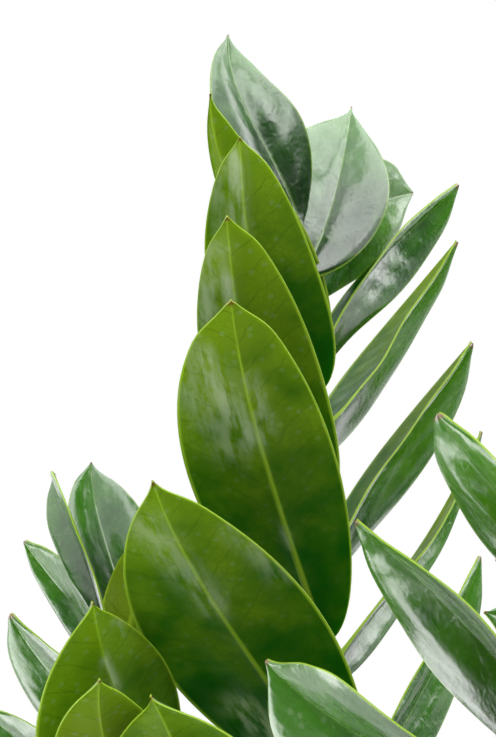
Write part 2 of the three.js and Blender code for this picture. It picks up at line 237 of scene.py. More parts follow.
def leafMaterial(name, look):
    material, tree = newMaterial(name)
    pattern = leafPattern

    # place on the blade in centimetres from the midrib and the foot, and what the mesh carries
    place = addNode(tree, "UVMap", uv_map="leafPlace").outputs["UV"]
    carried = {}
    for key in ("acrossShare", "alongShare", "tone", "paintedReflection"):
        carried[key] = addNode(tree, "Attribute", attribute_name=key).outputs["Fac"]
    side = addNode(tree, "Math", {0: carried["acrossShare"]}, operation="ABSOLUTE").outputs[0]

    # noises: one bends the veins, the others vary the tone, the shine and the relief
    noises = {}
    for key in ("warp", "cloud", "spot"):
        noises[key] = addNode(tree, "TexNoise", {
            "Vector": place, "Scale": 1 / pattern[key + "Size"], "Detail": 3.0}, noise_dimensions="2D")
    centred = addNode(tree, "VectorMath", {0: noises["warp"].outputs["Color"], 1: (0.5, 0.5, 0.5)},
                      operation="SUBTRACT").outputs[0]
    warped = addNode(tree, "VectorMath", {
        0: centred, 1: (pattern["warpReach"],) * 3, 2: place}, operation="MULTIPLY_ADD").outputs[0]
    for key, along, detail in (("streak", place, 4.0), ("buckle", warped, 1.0)):
        grain = (1 / pattern[key + "Width"], 1 / pattern[key + "Length"], 1.0)
        stretched = addNode(tree, "VectorMath", {0: along, 1: grain},
                            operation="MULTIPLY").outputs[0]
        noises[key] = addNode(tree, "TexNoise", {
            "Vector": stretched, "Scale": 1.0, "Detail": detail, "Roughness": 0.6}, noise_dimensions="2D")

    # side veins climb from the midrib to the margin, and a net joins them
    bent = addNode(tree, "SeparateXYZ", {0: warped})
    straight = addNode(tree, "SeparateXYZ", {0: place})
    fromMidrib = addNode(tree, "Math", {0: straight.outputs[0]}, operation="ABSOLUTE").outputs[0]
    bentAside = addNode(tree, "Math", {0: bent.outputs[0]}, operation="ABSOLUTE").outputs[0]
    climb = addNode(tree, "Math", {
        0: bentAside, 1: -pattern["veinSlope"], 2: bent.outputs[1]}, operation="MULTIPLY_ADD").outputs[0]
    fromVein = addNode(tree, "Math", {0: climb, 1: pattern["veinSpacing"] / 2},
                       operation="PINGPONG").outputs[0]
    fromNet = addNode(tree, "TexVoronoi", {"Vector": warped, "Scale": 1 / pattern["netCell"]},
                      feature="DISTANCE_TO_EDGE", voronoi_dimensions="2D").outputs["Distance"]
    # pale dots: small droplets, drawn as painted glints in the pale colour
    fromDropGlint = addNode(tree, "TexVoronoi", {"Vector": place, "Scale": 1 / pattern["dropGlintSpacing"]},
                       voronoi_dimensions="2D").outputs["Distance"]
    ribSpan = addNode(tree, "MapRange", {
        "Value": carried["alongShare"], "To Min": look["ribWidth"] * pattern["ribAtFoot"],
        "To Max": look["ribWidth"] * pattern["ribAtTip"]}).outputs[0]
    inRibs = addNode(tree, "Math", {0: fromMidrib, 1: ribSpan}, operation="DIVIDE").outputs[0]

    # tissue: yellower towards the tip and in a young leaflet, in soft clouds; darker towards the foot, partly
    # as painted shade
    tissue = addNode(tree, "Math", {
        0: noises["cloud"].outputs["Fac"], 1: pattern["cloudWeight"], 2: carried["tone"]},
        operation="MULTIPLY_ADD").outputs[0]
    tissue = addNode(tree, "Math", {0: carried["alongShare"], 1: tissue}, operation="ADD").outputs[0]

    # shares between 0 and 1: value, where it is 0, where it is 1
    shares = {}
    for key, value, none, full in (
            ("body", tissue, look["bodyFrom"], look["bodyTo"]), ("sideVein", fromVein, 0.05, 0.01),
            ("net", fromNet, 0.14, 0.0), ("patch", noises["cloud"].outputs["Fac"], 0.4, 0.62),
            ("dropGlint", fromDropGlint, 0.16, 0.1), ("midrib", inRibs, 1.3, 0.6), ("margin", side, 0.95, 0.985),
            ("tip", carried["alongShare"], 0.982, 0.995),
            ("spot", noises["spot"].outputs["Fac"], 0.45, 0.75),
            ("streak", noises["streak"].outputs["Fac"], 0.3, 0.66), ("cushion", fromNet, 0.0, 0.4),
            ("swell", fromVein, 0.0, 0.4)):
        shares[key] = addNode(tree, "MapRange", {
            "Value": value, "From Min": none, "From Max": full}, interpolation_type="SMOOTHSTEP").outputs[0]
    # the pale streaks are painted reflection, kept to the strokes that a leaflet carries
    for key, other in (("net", shares["patch"]), ("dropGlint", shares["body"]), ("spot", shares["body"]),
                       ("streak", carried["paintedReflection"])):
        shares[key] = addNode(tree, "Math", {0: shares[key], 1: other},
                              operation="MULTIPLY").outputs[0]

    # the same layers lie over the skin's colour and over the light that comes through
    coats = {}
    for coat, deep, bright in (("skin", look["deep"], look["bright"]),
                               ("glow", look["glowDeep"], look["glowBright"])):
        coats[coat] = addNode(tree, "Mix", {
            "Factor": shares["body"], 6: colourOf(deep), 7: colourOf(bright)}, data_type="RGBA").outputs[2]
        for key, strength, hexText in (
                ("spot", pattern["spotShare"], bright), ("net", look["netShare"], look["veinColour"]),
                ("sideVein", look["veinShare"], look["veinColour"]),
                ("midrib", look["midribShare"], look["midrib"]),
                ("margin", look["marginShare"], pattern["margin"]),
                ("tip", pattern["tipShare"], pattern["tip"]),
                # the last two layers are painted light: pale glint dots and pale reflection streaks
                ("dropGlint", pattern["dropGlintShare"], pattern["paintedReflection"]),
                ("streak", look["paintedReflectionShare"], pattern["paintedReflection"])):
            weight = addNode(tree, "Math", {0: shares[key], 1: strength},
                             operation="MULTIPLY").outputs[0]
            coats[coat] = addNode(tree, "Mix", {
                "Factor": weight, 6: coats[coat], 7: colourOf(hexText)}, data_type="RGBA").outputs[2]

    # relief: the blade buckles, and its tissue swells between the veins
    height = noises["buckle"].outputs["Fac"]
    for key in ("swell", "cushion"):
        height = addNode(tree, "Math", {0: shares[key], 1: pattern[key + "Share"], 2: height},
                         operation="MULTIPLY_ADD").outputs[0]
    bump = addNode(tree, "Bump", {
        "Strength": look["reliefStrength"], "Distance": look["reliefDepth"], "Height": height}).outputs[0]
    roughness = addNode(tree, "MapRange", {
        "Value": noises["streak"].outputs["Fac"], "From Min": 0.3, "From Max": 0.7,
        "To Min": look["roughness"][0], "To Max": look["roughness"][1]}).outputs[0]
    surface = addNode(tree, "BsdfPrincipled", {
        "Base Color": coats["skin"], "Roughness": roughness, "IOR": 1.5,
        "Specular IOR Level": look["specular"], "Coat Weight": look["coat"],
        "Coat Roughness": look["coatRoughness"], "Normal": bump}).outputs[0]
    through = addNode(tree, "BsdfTranslucent", {"Color": coats["glow"], "Normal": bump}).outputs[0]
    mixed = addNode(tree, "MixShader", {0: look["glowShare"], 1: surface, 2: through}).outputs[0]
    addNode(tree, "OutputMaterial", {0: mixed})
    return material


def marginMaterial():
    # the thin clear edge of the blade, which catches the light as a yellow-green line
    material, tree = newMaterial("leafMargin")
    surface = addNode(tree, "BsdfPrincipled", {
        "Base Color": colourOf(marginLook["skin"]), "Roughness": marginLook["roughness"],
        "IOR": 1.45}).outputs[0]
    through = addNode(tree, "BsdfTranslucent", {"Color": colourOf(marginLook["glow"])}).outputs[0]
    mixed = addNode(tree, "MixShader", {
        0: marginLook["glowShare"], 1: surface, 2: through}).outputs[0]
    addNode(tree, "OutputMaterial", {0: mixed})
    return material


waxyUpperFace = leafMaterial("waxyUpperFace", leafLooks["waxyUpperFace"])
leafUnderside = leafMaterial("leafUnderside", leafLooks["leafUnderside"])
leafMargin = marginMaterial()
say("leaf materials")


# Leaflet blanks: a flat grid with thickness, x across from -1 to 1 and y along from -1 to 1.
# Sizes are in millimetres, reaches and starts are shares of the length, the crease's values go
# with the half width, and the crowdings draw the lines towards the midrib and the ends.
blade = {
    "thickness": 0.72, "edgeThickness": 0.45,
    "stemletThickness": 2.4, "stemletHalfWidth": 1.2, "stemletReach": 0.06, "tipHalfWidth": 0.25,
    "ribHeight": 0.55, "ribHalfWidth": 0.75, "ribTaper": 1.25, "ribStart": (0.03, 0.15),
    "grooveDepth": 0.25, "creaseSoftness": 0.004, "creaseDrop": 0.063,
    "veinSwell": 0.1, "swellSpacing": 8.5, "swellSlope": 0.8,
    "edgeWave": 0.5, "waves": 1.7, "waveOffset": 0.8, "edgeRoll": 0.5,
    "hollows": 3, "buckle": 0.12, "buckleLength": 38, "buckleWidth": 10,
    "dripTip": 0.45, "dripReach": 0.06,
    "midribCrowding": 1.35, "endCrowding": 0.65, "drawsFrom": 1000,
}


def leafBlank(name, columns, rows):
    deselectAll()
    bpy.ops.mesh.primitive_grid_add(x_subdivisions=columns, y_subdivisions=rows, size=2, calc_uvs=True)
    blank = bpy.context.object
    blank.name = name
    for material in (waxyUpperFace, leafUnderside, leafMargin):
        blank.data.materials.append(material)
    applyModifier(blank, "SOLIDIFY", thickness=1.0, offset=0.0, material_offset=1, material_offset_rim=2)
    blank.data.uv_layers[0].name = "leafPlace"
    return blank


fineBlank = leafBlank("fineBlank", 24, 44)
plainBlank = leafBlank("plainBlank", 14, 28)


def bladeWidth(t, leaf):
    power = math.log(0.5) / math.log(leaf["widest"])
    fullness = leaf["round"] + (leaf["point"] - leaf["round"]) * t
    drawnIn = 1 - blade["dripTip"] * np.exp(-((1 - t) / blade["dripReach"]) ** 2)
    return drawnIn * np.abs(np.sin(np.pi * t ** power)) ** fullness


def shapeLeaflet(leaf, blank, name, draw):
    piece = copyOf(blank, name)
    flat = pointsOf(piece.data)
    # s = share across, with closer columns beside the midrib; t = share along, with closer rows
    # at foot and tip
    s = np.sign(flat[:, 0]) * np.abs(flat[:, 0]) ** blade["midribCrowding"]
    u = (flat[:, 1] + 1) / 2
    crowding = blade["endCrowding"]
    t = (1 - crowding) * u + crowding * (0.5 - 0.5 * np.cos(np.pi * u))
    face = np.sign(flat[:, 2]) * 0.5

    # arcs of height 1 with their slopes: one highest in the middle, one nearer to the tip
    rise, slope = 4 * t * (1 - t), 4 - 8 * t
    hookRise, hookSlope = 6.75 * t * t * (1 - t), 6.75 * (2 * t - 3 * t * t)
    normal, sideways, chord = leaf["normal"], leaf["sideways"], leaf["chord"]
    aside = (leaf["sweep"] * rise + leaf["hook"] * hookRise)[:, None]
    asideSlope = (leaf["sweep"] * slope + leaf["hook"] * hookSlope)[:, None]
    centre = leaf["base"] + chord * t[:, None] + normal * leaf["bow"] * rise[:, None] + sideways * aside
    along = unit(chord + normal * leaf["bow"] * slope[:, None] + sideways * asideSlope)
    flatUp = across(np.broadcast_to(normal, along.shape), along)
    up = turned(flatUp, along, np.radians(leaf["twist"]) * (t - 0.5))
    outward = np.cross(up, along)

    length = np.linalg.norm(chord)
    least = blade["stemletHalfWidth"] + (blade["tipHalfWidth"] - blade["stemletHalfWidth"]) * t
    half = np.maximum(leaf["width"] / 2 * bladeWidth(t, leaf), least) * (1 + leaf["uneven"] * s)
    fold = math.radians(leaf["fold"])
    reach = np.abs(s)
    # the fold is rounded at the midrib
    crease = np.sqrt(reach ** 2 + blade["creaseSoftness"]) - blade["creaseDrop"]
    ridge = np.exp(-(s * half / (blade["ribHalfWidth"] * (blade["ribTaper"] - t))) ** 2)
    ridge = ridge * (1 - t) ** 0.6 * smooth(*blade["ribStart"], t)
    climb = t * length - blade["swellSlope"] * reach * half
    swell = np.cos(2 * np.pi * climb / blade["swellSpacing"]) * (1 - reach ** 3) * smooth(0.1, 0.25, reach)
    phase = draw(0, 2 * math.pi)
    wave = np.sin(2 * np.pi * blade["waves"] * t + phase + np.sign(s) * blade["waveOffset"])
    wave = wave * reach ** 2 * (1 - t) ** 0.3
    arch = 4 * reach * (1 - reach) * (1 - 0.5 * reach)  # each half swells, more beside the midrib
    lift = half * (crease * math.sin(fold) + leaf["arch"] * arch) + blade["veinSwell"] * swell
    lift = lift + leaf["wave"] * wave * rise - blade["edgeRoll"] * reach ** 8
    for step in range(blade["hollows"]):  # long soft hollows that break the reflections
        turn = t * length / blade["buckleLength"] * draw(-1, 1)
        turn = turn + s * half / blade["buckleWidth"] * draw(0.6, 1.2)
        hollow = np.sin(2 * math.pi * (turn + draw(0, 1)))
        lift = lift + leaf["buckle"] * hollow * smooth(0, 0.12, reach) * rise
    thick = blade["edgeThickness"] + (blade["thickness"] - blade["edgeThickness"]) * (1 - reach ** 2)
    thick = thick + (blade["stemletThickness"] - blade["thickness"]) * np.exp(-t / blade["stemletReach"])
    lift = lift + face * thick
    lift = lift - np.where(face < 0, blade["ribHeight"] * ridge, blade["grooveDepth"] * ridge)
    points = centre + outward * (half * s * math.cos(fold))[:, None] + up * lift[:, None]
    placePoints(piece.data, points * mm)

    keepValues(piece.data, "acrossShare", s)
    keepValues(piece.data, "alongShare", t)
    keepValues(piece.data, "tone", np.full(len(s), leaf["tone"]))
    # painted reflection: pale strokes laid into the colour where the leaflet would mirror light
    paintedReflection = np.zeros(len(s))
    for fromSide, fromFoot, toSide, toFoot, breadth, strength in leaf["paintedReflection"]:
        # a stroke between two places on the blade, each given by its shares across and along
        start = np.array([fromSide * leaf["width"] / 2, fromFoot * length])
        stroke = np.array([toSide * leaf["width"] / 2, toFoot * length]) - start
        spot = np.stack([s * half, t * length], axis=1) - start
        reached = np.clip(spot @ stroke / (stroke @ stroke), 0, 1)
        away = np.linalg.norm(spot - reached[:, None] * stroke, axis=1)
        paintedReflection = np.maximum(paintedReflection, strength * np.exp(-(away / breadth) ** 2))
    keepValues(piece.data, "paintedReflection", paintedReflection)
    corners = np.empty(len(piece.data.loops), dtype=np.int32)
    piece.data.loops.foreach_get("vertex_index", corners)
    place = np.stack([s * half / 10, t * length / 10 + leaf["shift"]], axis=1)  # centimetres
    piece.data.uv_layers["leafPlace"].data.foreach_set("uv", place[corners].astype(np.float32).ravel())
    return piece


# Fronds: path = four control points of the stalk's curve; side = azimuth of the right-hand
# row of leaflets; leaflets = those placed one by one, with their place along the stalk, tip,
# width, turn about the midrib (0 shows the upper face to the front, 180 the underside),
# fold, bow, sweep, hook, twist and the outline's shape; rule = those placed by rule. Tone is how
# young and yellow a leaflet is, and on some leaflets painted light: raised where it is lit from
# behind, lowered where others shade it. The list of pale strokes is painted reflection, laid into
# the colour where the leaflet would mirror light: from and to (shares across and along), breadth
# and strength.
fronds = {
    "upright": {
        "path": [[-8, 4, 124], [-14, 2, 240], [-38, -22, 330], [-45, -44, 511]],
        "side": 53, "seed": 11, "fine": True,
        "leaflets": [
            {"at": 1, "tip": [-63, -34, 561], "width": 23, "turn": 25, "fold": 20, "bow": 3, "sweep": -1,
             "hook": 5, "twist": 5, "point": 0.85, "round": 1.1},
            {"at": 0.92, "tip": [-67, -72, 543], "width": 20, "turn": 170, "fold": 35, "bow": 5, "sweep": 5,
             "hook": -7, "twist": -20, "point": 0.9, "widest": 0.4, "uneven": 0.35},
            {"at": 0.92, "tip": [-60, -78, 532], "width": 29, "turn": 170, "fold": 16, "bow": 2, "sweep": -7,
             "hook": 2, "twist": 12, "point": 0.65, "round": 0.5, "widest": 0.36, "uneven": 0.1,
             "paintedReflection": [[-0.12, 0.93, -0.2, 0.6, 2.6, 0.75], [-0.4, 0.82, -0.3, 0.6, 3, 0.45]]},
            {"at": 0.86, "tip": [-63, -82, 513], "width": 30, "turn": 165, "fold": 16, "bow": 3, "sweep": -8,
             "hook": 2, "twist": 18, "point": 0.62, "round": 0.5, "widest": 0.4, "uneven": 0.15,
             "tone": 0.35, "paintedReflection": [[-0.45, 0.88, -0.55, 0.6, 5, 0.6], [-0.12, 0.8, -0.12, 0.66, 1.8, 0.8]]},
            {"at": 0.79, "tip": [-62, -88, 493], "width": 38, "turn": 172, "fold": 14, "bow": 4, "sweep": -2,
             "hook": -1, "twist": 18, "point": 0.6, "round": 0.5, "uneven": -0.1, "tone": 0.25,
             "paintedReflection": [[-0.5, 0.84, -0.16, 0.6, 4, 0.7], [-0.75, 0.76, -0.45, 0.56, 4, 0.45],
                       [0.08, 0.76, 0.12, 0.6, 2, 0.6], [-0.05, 0.33, -0.04, 0.28, 1.2, 0.5]]},
            {"at": 0.7, "tip": [-80, -100, 451], "width": 44, "turn": 164, "fold": 10, "bow": 4, "sweep": -1,
             "hook": -3, "twist": 18, "point": 0.8, "round": 0.5, "widest": 0.44, "uneven": -0.05,
             "tone": 0.15, "paintedReflection": [[-0.25, 0.88, -0.02, 0.6, 4, 0.5], [0.6, 0.78, 0.78, 0.6, 3, 0.45],
                       [-0.5, 0.28, -0.3, 0.05, 5, 0.9]]},
            {"at": 0.6, "tip": [-40, -72, 382], "width": 36, "turn": 180, "bow": 3},
            {"at": 0.51, "tip": [-34, -68, 350], "width": 34, "turn": 180, "bow": 3},
            {"at": 0.98, "tip": [-31, -8, 545], "width": 35, "turn": 0, "fold": 18, "bow": 2, "sweep": -3,
             "hook": 1, "twist": -18, "point": 1.2, "round": 0.75, "widest": 0.42, "uneven": 0.2},
            {"at": 0.97, "tip": [-14, 14, 524], "width": 30, "turn": 38, "fold": 10, "bow": -4, "sweep": 5,
             "point": 0.6, "round": 0.5, "widest": 0.55},
            {"at": 0.93, "tip": [-2, 10, 526], "width": 22, "turn": 68, "fold": 26, "bow": -6, "sweep": 4,
             "hook": -7, "twist": -32, "point": 0.5, "round": 0.5, "uneven": -0.2},
            {"at": 0.9, "tip": [-2, 14, 511], "width": 30, "turn": 80, "fold": 32, "bow": -4, "sweep": -8,
             "hook": -7, "twist": -12, "point": 0.5, "round": 0.8, "widest": 0.38, "uneven": -0.15},
            {"at": 0.83, "tip": [2, 14, 484], "width": 32, "turn": 76, "fold": 28, "bow": -6, "sweep": -8,
             "hook": -5, "twist": -12, "point": 0.5, "round": 0.5, "widest": 0.56, "uneven": -0.2},
            {"at": 0.77, "tip": [5, 20, 460], "width": 20, "turn": 64, "fold": 30, "bow": -1, "sweep": -4,
             "hook": -7, "twist": 12, "point": 0.5, "round": 0.5, "widest": 0.36, "uneven": 0.2},
            {"at": 0.68, "tip": [5, 25, 426], "width": 22, "turn": 50, "fold": 18, "bow": -1, "sweep": -5,
             "hook": -2, "point": 0.55, "round": 0.5, "uneven": -0.1},
            {"at": 0.56, "tip": [10, 30, 356], "width": 34, "turn": 50, "bow": 2},
            {"at": 0.47, "tip": [14, 32, 320], "width": 30, "turn": 50, "bow": 2},
            {"at": 0.79, "tip": [-70, -6, 448], "width": 24, "turn": -10, "bow": 3},
        ],
    },
    "left": {
        "path": [[-36, -14, 124], [-34, -22, 235], [-61, -44, 340], [-95, -60, 417]],
        "side": 102, "seed": 23, "fine": True,
        "leaflets": [
            {"at": 0.94, "tip": [-83, -49, 435], "width": 12, "turn": 172, "fold": 4, "point": 0.5,
             "round": 0.5, "uneven": -0.3, "tone": 0.7},
            {"at": 0.79, "tip": [-94, -98, 423], "width": 39, "turn": 204, "fold": 6, "bow": 4, "sweep": -2,
             "twist": -6, "point": 0.95, "round": 0.95, "uneven": -0.2, "tone": 0.3,
             "paintedReflection": [[0, 0.74, 0.05, 0.6, 1.3, 0.8], [0.3, 0.86, 0.3, 0.8, 1.5, 0.7]]},
            {"at": 0.75, "tip": [-92, -106, 406], "width": 30, "turn": 180, "fold": 10, "bow": 4, "sweep": -8,
             "hook": 1, "point": 0.8, "round": 0.5, "widest": 0.44, "tone": 0.7},
            {"at": 0.67, "tip": [-80, -114, 403], "width": 43, "turn": 168, "fold": 6, "bow": 4, "sweep": 1,
             "hook": 1, "twist": -8, "point": 1.1, "round": 0.7, "widest": 0.54},
            {"at": 0.56, "tip": [-76, -94, 356], "width": 34, "turn": 186, "bow": 4},
            {"at": 0.47, "tip": [-66, -84, 328], "width": 32, "turn": 186, "bow": 4},
            {"at": 0.94, "tip": [-98, -26, 453], "width": 22, "turn": 12, "fold": 22, "bow": -1, "sweep": -6,
             "hook": 5, "twist": 18, "point": 0.75, "round": 0.9, "widest": 0.6, "uneven": -0.1},
            {"at": 0.97, "tip": [-107, -32, 450], "width": 18, "turn": -52, "fold": 36, "bow": 3, "sweep": -8,
             "hook": 2, "twist": -12, "point": 0.6, "round": 0.6, "widest": 0.6, "uneven": -0.2},
            {"at": 0.92, "tip": [-115, -26, 433], "width": 21, "turn": -44, "fold": 20, "bow": -4, "sweep": 1,
             "hook": 2, "twist": 8, "point": 0.55, "round": 0.7, "widest": 0.46, "uneven": -0.35},
            {"at": 0.84, "tip": [-119, -20, 414], "width": 26, "turn": -46, "fold": 16, "bow": -5, "sweep": 4,
             "hook": 7, "twist": 6, "point": 0.5, "round": 0.5, "widest": 0.6},
            {"at": 0.72, "tip": [-127, -16, 390], "width": 30, "turn": -38, "fold": 18, "bow": 1},
            {"at": 0.64, "tip": [-118, -12, 372], "width": 32, "turn": -38, "fold": 16},
            {"at": 0.54, "tip": [-110, -8, 346], "width": 32, "turn": -38, "fold": 16},
            {"at": 0.45, "tip": [-98, -4, 316], "width": 28, "turn": -38, "fold": 16},
            {"at": 0.86, "tip": [-86, -2, 419], "width": 18, "turn": -20},
        ],
    },
    "front": {
        "path": [[6, -36, 124], [0, -64, 240], [-12, -138, 330], [26, -172, 432]],
        "side": 145, "seed": 37, "fine": True,
        "leaflets": [
            {"at": 1, "tip": [30, -174, 486], "width": 24, "turn": 170},
            {"at": 0.98, "tip": [-16, -128, 467], "width": 28, "turn": -62, "fold": 8, "bow": -4, "sweep": 8,
             "hook": 5, "twist": 18, "point": 0.4, "round": 1.05, "widest": 0.6, "uneven": 0.2},
            {"at": 0.83, "tip": [-34, -122, 443], "width": 34, "turn": -63, "fold": 22, "bow": -7,
             "sweep": -8, "hook": 7, "twist": -14, "point": 0.55, "round": 0.9, "widest": 0.56},
            {"at": 0.8, "tip": [-54, -124, 412], "width": 43, "turn": -50, "fold": 20, "bow": 3, "sweep": -8,
             "hook": 7, "twist": 18, "point": 0.85, "round": 0.5, "widest": 0.62},
            {"at": 0.68, "tip": [-42, -98, 370], "width": 30, "turn": -42, "bow": -3},
            {"at": 0.58, "tip": [-40, -92, 336], "width": 28, "turn": -42, "bow": -3},
            {"at": 0.48, "tip": [-38, -78, 306], "width": 26, "turn": -42, "bow": -3},
            {"at": 0.94, "tip": [58, -188, 462], "width": 26, "turn": 196, "bow": 3},
            {"at": 0.85, "tip": [58, -182, 436], "width": 29, "turn": 196, "bow": 3},
            {"at": 0.76, "tip": [56, -172, 406], "width": 32, "turn": 196, "bow": 3},
            {"at": 0.65, "tip": [52, -154, 366], "width": 32, "turn": 196, "bow": 3},
            {"at": 0.54, "tip": [46, -136, 334], "width": 30, "turn": 196, "bow": 3},
            {"at": 0.44, "tip": [42, -114, 304], "width": 26, "turn": 196, "bow": 3},
        ],
    },
    "backRight": {
        "path": [[20, 32, 124], [26, 42, 260], [54, 62, 380], [94, 84, 472]],
        "side": 125, "seed": 43, "lift": 20, "spread": 40,
        "rule": {"count": 11, "from": 0.5, "length": 80},
        "leaflets": [
            {"at": 0.8, "tip": [12, 60, 423], "width": 26, "turn": 20, "fold": 14},
            {"at": 0.72, "tip": [8, 50, 409], "width": 28, "turn": 20, "fold": 14},
        ],
    },
    "right": {
        "path": [[38, -8, 124], [46, -14, 250], [84, -26, 400], [128, -38, 505]],
        "side": 75, "lift": 12, "spread": 40, "seed": 57,
        "rule": {"count": 14, "from": 0.46, "length": 88},
    },
    "backLeft": {
        "path": [[-30, 36, 124], [-44, 56, 215], [-88, 86, 285], [-150, 118, 300]],
        "side": 235, "lift": 22, "spread": 45, "seed": 61,
        "rule": {"count": 12, "from": 0.42, "length": 78},
    },
    "frontRight": {
        "path": [[34, -44, 124], [52, -62, 205], [94, -96, 272], [144, -128, 292]],
        "side": 50, "lift": 22, "spread": 45, "seed": 71,
        "rule": {"count": 12, "from": 0.42, "length": 78},
    },
    "frontLeft": {
        "path": [[-22, -42, 124], [-32, -66, 210], [-58, -114, 276], [-96, -162, 296]],
        "side": 324, "lift": 22, "spread": 45, "seed": 83,
        "rule": {"count": 12, "from": 0.42, "length": 76},
    },
    "back": {
        "path": [[-4, 52, 124], [-2, 76, 215], [4, 120, 288], [8, 176, 304]],
        "side": 177, "lift": 22, "spread": 45, "seed": 97,
        "rule": {"count": 10, "from": 0.42, "length": 76},
    },
}


# What differs by chance, or by its place, between the leaflets of a frond that follows the rule.
# Spread is in radians, fold in degrees, and the facing weighs the directions a leaflet turns to.
ruled = {
    "shrink": 0.42, "shrinkPower": 1.5, "widthShare": 0.38,
    "spread": (-0.06, 0.06), "size": (0.94, 1.04), "fold": (10, 20), "bow": (-3, 2), "sweep": (-2, 2),
    "facing": {"along": 0.6, "row": -0.5, "inner": 0.3, "up": 0.35},
}


def curvePoint(path, t):
    a, b, c, d = (np.array(point, dtype=float) for point in path)
    t = np.reshape(t, np.shape(t) + (1,))
    return a * (1 - t) ** 3 + 3 * b * t * (1 - t) ** 2 + 3 * c * t ** 2 * (1 - t) + d * t ** 3


def curveDirection(path, t):
    a, b, c, d = (np.array(point, dtype=float) for point in path)
    t = np.reshape(t, np.shape(t) + (1,))
    return unit((b - a) * (1 - t) ** 2 + 2 * (c - b) * t * (1 - t) + (d - c) * t ** 2)


def finishedLeaf(base, tip, normal, shape, draw):
    chord = tip - base
    along = unit(chord)
    facing = across(normal, along)
    leaf = {"fold": 14, "bow": 0, "sweep": 0, "hook": 0, "twist": 0, "uneven": 0, "point": 0.8, "round": 0.62,
            "widest": 0.48, "arch": 0.06, "wave": blade["edgeWave"], "buckle": blade["buckle"],
            "tone": draw(0.0, 0.4), "shift": draw(0, 9), "paintedReflection": [], **shape}
    leaf.update(base=base, chord=chord, normal=facing, sideways=np.cross(facing, along))
    return leaf


def placedLeaflets(frond, draw):
    for placed in frond.get("leaflets", []):
        shape = dict(placed)
        base = curvePoint(frond["path"], shape.pop("at"))
        tip = np.array(shape.pop("tip"), dtype=float)
        along = unit(tip - base)
        front = across(np.array([0.0, -1.0, 0.0]), along)
        yield finishedLeaf(base, tip, turned(front, along, math.radians(shape.pop("turn"))), shape, draw)


def ruledLeaflets(frond, toneDraw):
    # the rows alternate up the stalk, and the last leaflet ends it
    rule = frond["rule"]
    draw = draws(frond["seed"])
    lift = math.radians(frond["lift"])
    inner = azimuth(frond["side"] + 90)
    facing = ruled["facing"]
    for i in range(rule["count"]):
        share = i / (rule["count"] - 1)
        at = rule["from"] + (1 - rule["from"]) * share
        base = curvePoint(frond["path"], at)
        along = curveDirection(frond["path"], at)
        row = azimuth(frond["side"]) * (1 if i % 2 == 0 else -1)
        outward = across(row * math.cos(lift) + inner * math.sin(lift), along)
        spread = 0 if share == 1 else math.radians(frond["spread"]) + draw(*ruled["spread"])
        direction = along * math.cos(spread) + outward * math.sin(spread)
        size = rule["length"] * (1 - ruled["shrink"] * share ** ruled["shrinkPower"]) * draw(*ruled["size"])
        normal = along * facing["along"] + row * facing["row"] + inner * facing["inner"]
        normal = normal + np.array([0, 0, facing["up"]])
        shape = {"width": size * ruled["widthShare"]}
        for key in ("fold", "bow", "sweep"):
            shape[key] = draw(*ruled[key])
        yield finishedLeaf(base, base + direction * size, normal, shape, toneDraw)


# Stalks: a thick upright foot in the soil, then slender and slightly swollen at each leaflet.
# Radii and the depth are in millimetres, the reaches are shares of the stalk's curve.
stalk = {
    "footRadius": 7.6, "footDepth": 34, "tipRadius": 1.5, "midRadius": 4.4,
    "sides": 20, "rings": 72, "swelling": 0.07,
    "footReach": 0.16, "swellingReach": 0.012, "uprightReach": 0.08,
    "dark": "#3f6f22", "light": "#7da545", "fleck": "#24441a",
    "fleckScale": 190.0, "fleckStretch": 2.4, "cloudScale": 32.0, "roughness": 0.36,
}


def stalkMaterial():
    # smooth juicy stalk: mid green with dark flecks that lie across it
    material, tree = newMaterial("stalkSkin")
    place = addNode(tree, "TexCoord").outputs["Object"]
    stretched = addNode(tree, "Mapping", {
        "Vector": place, "Scale": (1.0, 1.0, stalk["fleckStretch"])}).outputs[0]
    flecks = addNode(tree, "TexNoise", {
        "Vector": stretched, "Scale": stalk["fleckScale"], "Detail": 4.0}).outputs["Fac"]
    fleckShare = addNode(tree, "MapRange", {
        "Value": flecks, "From Min": 0.54, "From Max": 0.66}, interpolation_type="SMOOTHSTEP").outputs[0]
    cloud = addNode(tree, "TexNoise", {
        "Vector": place, "Scale": stalk["cloudScale"], "Detail": 2.0}).outputs["Fac"]
    base = addNode(tree, "Mix", {
        "Factor": cloud, 6: colourOf(stalk["dark"]), 7: colourOf(stalk["light"])},
        data_type="RGBA").outputs[2]
    colour = addNode(tree, "Mix", {
        "Factor": fleckShare, 6: base, 7: colourOf(stalk["fleck"])}, data_type="RGBA").outputs[2]
    bump = addNode(tree, "Bump", {"Strength": 0.3, "Distance": 0.0003, "Height": flecks}).outputs[0]
    surface = addNode(tree, "BsdfPrincipled", {
        "Base Color": colour, "Roughness": stalk["roughness"], "IOR": 1.45, "Normal": bump}).outputs[0]
    addNode(tree, "OutputMaterial", {0: surface})
    return material


def stalkBlank():
    # a disc pulled up ring by ring; z counts the rings
    deselectAll()
    bpy.ops.mesh.primitive_circle_add(vertices=stalk["sides"], radius=1, fill_type="NGON")
    blank = bpy.context.object
    blank.name = "stalkBlank"
    bpy.ops.object.mode_set(mode="EDIT")
    bpy.ops.mesh.select_all(action="SELECT")
    for ring in range(stalk["rings"]):
        bpy.ops.mesh.extrude_region_move(TRANSFORM_OT_translate={"value": (0, 0, 1)})
    bpy.ops.mesh.select_all(action="SELECT")
    bpy.ops.mesh.normals_make_consistent(inside=False)
    bpy.ops.object.mode_set(mode="OBJECT")
    blank.data.materials.append(stalkMaterial())
    for name in list(blank.data.uv_layers.keys()):
        blank.data.uv_layers.remove(blank.data.uv_layers[name])
    blank.data.uv_layers.new(name="leafPlace")
    return blank


blankStalk = stalkBlank()


